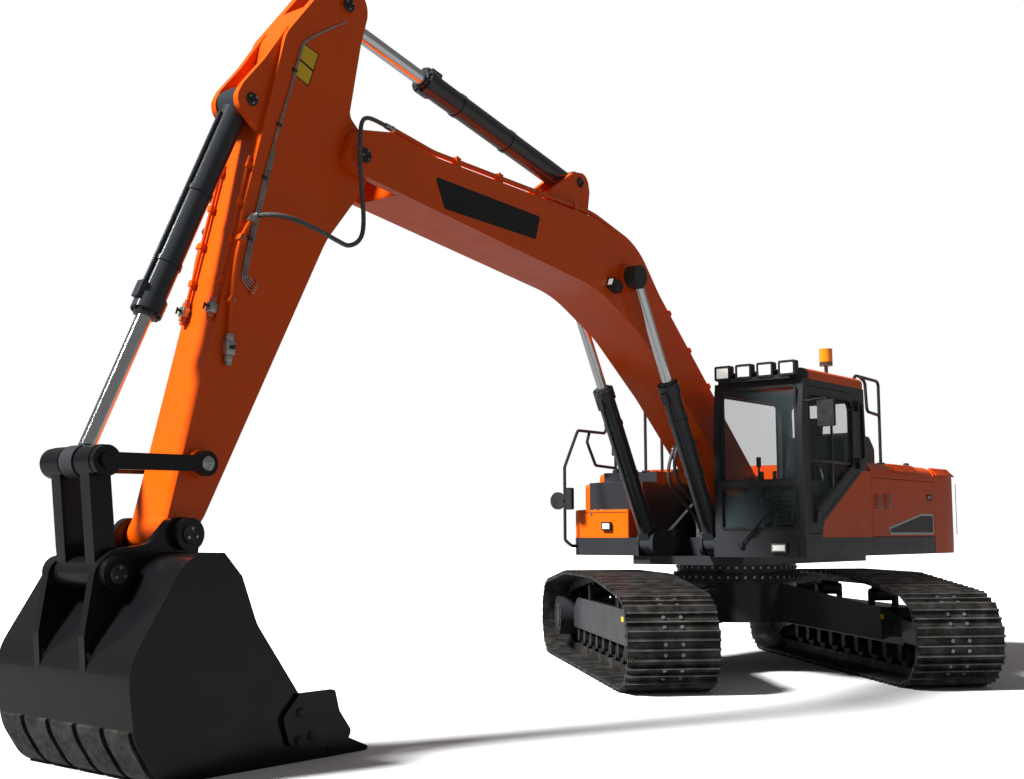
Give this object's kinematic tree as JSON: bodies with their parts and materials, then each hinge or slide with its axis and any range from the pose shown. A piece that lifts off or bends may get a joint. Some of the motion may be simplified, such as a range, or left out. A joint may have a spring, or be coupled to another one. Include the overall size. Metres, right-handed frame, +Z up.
{
  "type": "crawler excavator",
  "caption": "Tracked digging machine with a slewing house, bent boom, arm and bucket, parked with the bucket flat on the ground and the tracks turned under the house.",
  "frame": {"origin": "on the ground, at the middle of the parked machine", "axes": "+X the way the boom points, +Y to the left of it, +Z up"},
  "size_m": [11.6054, 6.0074, 5.6301],
  "materials": {
    "orange_paint": "gloss orange-red paint",
    "charcoal_paint": "satin charcoal paint",
    "black_paint": "gloss black paint",
    "track_steel": "dark steel with a little dust",
    "engine_metal": "plain cast metal",
    "rod_chrome": "polished",
    "window_glass": "lightly tinted",
    "chair_cloth": "woven dark grey",
    "lamp_plastic": "moulded black",
    "amber_plastic": "clear amber",
    "hose_rubber": "smooth black"
  },
  "bodies": {
    "undercarriage": {"car_body": "charcoal_paint", "slew_race": "track_steel", "track_frame_left": "charcoal_paint", "track_frame_right": "charcoal_paint", "track_left": "track_steel", "track_right": "track_steel", "rollers_left": "track_steel", "rollers_right": "track_steel", "idler_left": "track_steel", "idler_right": "track_steel", "drive_left": "charcoal_paint", "drive_right": "charcoal_paint"},
    "house": {"revolving_frame": "charcoal_paint", "counterweight": "orange_paint", "engine_block": "engine_metal", "hood": "orange_paint", "bulkhead": "charcoal_paint", "cab_side_panel": "orange_paint", "tanks": "charcoal_paint", "tool_box": "orange_paint", "air_box": "charcoal_paint", "cab_frame": "charcoal_paint", "cab_roof": "charcoal_paint", "cab_glass": "window_glass", "operator_chair": "chair_cloth", "roof_lamps": "lamp_plastic", "beacon": "amber_plastic", "handrails": "charcoal_paint", "mirrors": "lamp_plastic", "cab_console": "lamp_plastic", "lift_lugs": "charcoal_paint", "tank_panel": "orange_paint", "work_lamps": "lamp_plastic", "foot_hose_1": "hose_rubber", "foot_hose_2": "hose_rubber", "foot_hose_3": "hose_rubber"},
    "cab_door_leaf": {"cab_door": "charcoal_paint", "door_glass": "window_glass"},
    "engine_door_leaf": {"engine_door": "orange_paint"},
    "pump_door_leaf": {"pump_door": "orange_paint"},
    "boom_body": {"boom": "orange_paint", "boom_pipes": "orange_paint", "boom_lamp": "lamp_plastic", "nose_hose_left": "hose_rubber", "nose_hose_right": "hose_rubber"},
    "boom_barrel_left": {"boom_cylinder_barrel_left": "charcoal_paint"},
    "boom_rod_left": {"boom_cylinder_rod_left": "rod_chrome"},
    "boom_barrel_right": {"boom_cylinder_barrel_right": "charcoal_paint"},
    "boom_rod_right": {"boom_cylinder_rod_right": "rod_chrome"},
    "arm_body": {"arm": "orange_paint", "arm_pipes": "track_steel"},
    "arm_barrel": {"arm_cylinder_barrel": "charcoal_paint"},
    "arm_rod": {"arm_cylinder_rod": "rod_chrome"},
    "bucket_barrel": {"bucket_cylinder_barrel": "charcoal_paint"},
    "bucket_rod": {"bucket_cylinder_rod": "rod_chrome"},
    "link_pair": {"side_links": "black_paint"},
    "h_frame": {"h_link": "black_paint"},
    "bucket_body": {"bucket": "black_paint", "bucket_teeth": "black_paint"}
  },
  "joints": [
    {"name": "house_swing", "type": "hinge", "parent": "undercarriage", "child": "house", "pos_m": [-2.37, 0, 1.028], "axis": [0, 0, 1], "continuous": true},
    {"name": "boom_lift", "type": "hinge", "parent": "house", "child": "boom_body", "pos_m": [-2.32, 0, 1.87], "axis": [0, -1, 0], "range_deg": [-50, 30], "deforming": ["foot_hose_1", "foot_hose_2", "foot_hose_3"]},
    {"name": "boom_cylinder_tilt_left", "type": "hinge", "parent": "house", "child": "boom_barrel_left", "pos_m": [-1.27, 0.385, 1.35], "axis": [0, -1, 0], "range_deg": [-54.87, 33.12]},
    {"name": "boom_rod_slide_left", "type": "slide", "parent": "boom_barrel_left", "child": "boom_rod_left", "axis": [0.4742, 0, 0.8804], "range_m": [-0.889, 0.5354]},
    {"name": "boom_cylinder_tilt_right", "type": "hinge", "parent": "house", "child": "boom_barrel_right", "pos_m": [-1.27, -0.385, 1.35], "axis": [0, -1, 0], "range_deg": [-54.87, 33.12]},
    {"name": "boom_rod_slide_right", "type": "slide", "parent": "boom_barrel_right", "child": "boom_rod_right", "axis": [0.4742, 0, 0.8804], "range_m": [-0.889, 0.5354]},
    {"name": "arm_swing", "type": "hinge", "parent": "boom_body", "child": "arm_body", "pos_m": [3.55002, 0, 4.26551], "axis": [0, 1, 0], "range_deg": [-42, 61], "deforming": ["nose_hose_left", "nose_hose_right"]},
    {"name": "arm_cylinder_tilt", "type": "hinge", "parent": "boom_body", "child": "arm_barrel", "pos_m": [0.65192, 0, 4.70291], "axis": [0, -1, 0], "range_deg": [-10.66, 7.49]},
    {"name": "arm_rod_slide", "type": "slide", "parent": "arm_barrel", "child": "arm_rod", "axis": [0.9722, 0, 0.2342], "range_m": [-0.7101, 1.0291]},
    {"name": "bucket_curl", "type": "hinge", "parent": "arm_body", "child": "bucket_body", "pos_m": [5.08607, 0, 1.44233], "axis": [0, 1, 0], "range_deg": [-85, 85]},
    {"name": "side_link_swing", "type": "hinge", "parent": "arm_body", "child": "link_pair", "pos_m": [4.93559, 0, 1.8978], "axis": [0, 1, 0], "range_deg": [-49.8, 49.8]},
    {"name": "h_link_swing", "type": "hinge", "parent": "bucket_body", "child": "h_frame", "pos_m": [5.60107, 0, 1.20733], "axis": [0, 1, 0], "range_deg": [-52.35, 52.35]},
    {"name": "bucket_cylinder_tilt", "type": "hinge", "parent": "arm_body", "child": "bucket_barrel", "pos_m": [4.51425, 0, 4.47479], "axis": [0, 1, 0], "range_deg": [-2.2, 2.2]},
    {"name": "bucket_rod_slide", "type": "slide", "parent": "bucket_barrel", "child": "bucket_rod", "axis": [0.4096, 0, -0.9123], "range_m": [-0.6385, 0.6385]},
    {"name": "cab_door_swing", "type": "hinge", "parent": "house", "child": "cab_door_leaf", "pos_m": [-2.313, 1.49, 2.1], "axis": [0, 0, 1], "range_deg": [0, 100]},
    {"name": "engine_door_swing", "type": "hinge", "parent": "house", "child": "engine_door_leaf", "pos_m": [-2.644, 1.458, 1.7], "axis": [0, 0, -1], "range_deg": [0, 90]},
    {"name": "pump_door_swing", "type": "hinge", "parent": "house", "child": "pump_door_leaf", "pos_m": [-2.644, -1.458, 1.7], "axis": [0, 0, 1], "range_deg": [0, 90]}
  ],
  "couplings": [
    {"joint": "boom_cylinder_tilt_left", "follows": "boom_lift", "ratio": 1.0873},
    {"joint": "boom_rod_slide_left", "follows": "boom_lift", "m_per_rad": 1.013},
    {"joint": "boom_cylinder_tilt_right", "follows": "boom_lift", "ratio": 1.0873},
    {"joint": "boom_rod_slide_right", "follows": "boom_lift", "m_per_rad": 1.013},
    {"joint": "arm_cylinder_tilt", "follows": "arm_swing", "ratio": -0.1665},
    {"joint": "arm_rod_slide", "follows": "arm_swing", "m_per_rad": 0.9619},
    {"joint": "side_link_swing", "follows": "bucket_curl", "ratio": 0.58},
    {"joint": "h_link_swing", "follows": "bucket_curl", "ratio": -0.61},
    {"joint": "bucket_cylinder_tilt", "follows": "bucket_curl", "ratio": 0.02},
    {"joint": "bucket_rod_slide", "follows": "bucket_curl", "m_per_rad": 0.427}
  ]
}
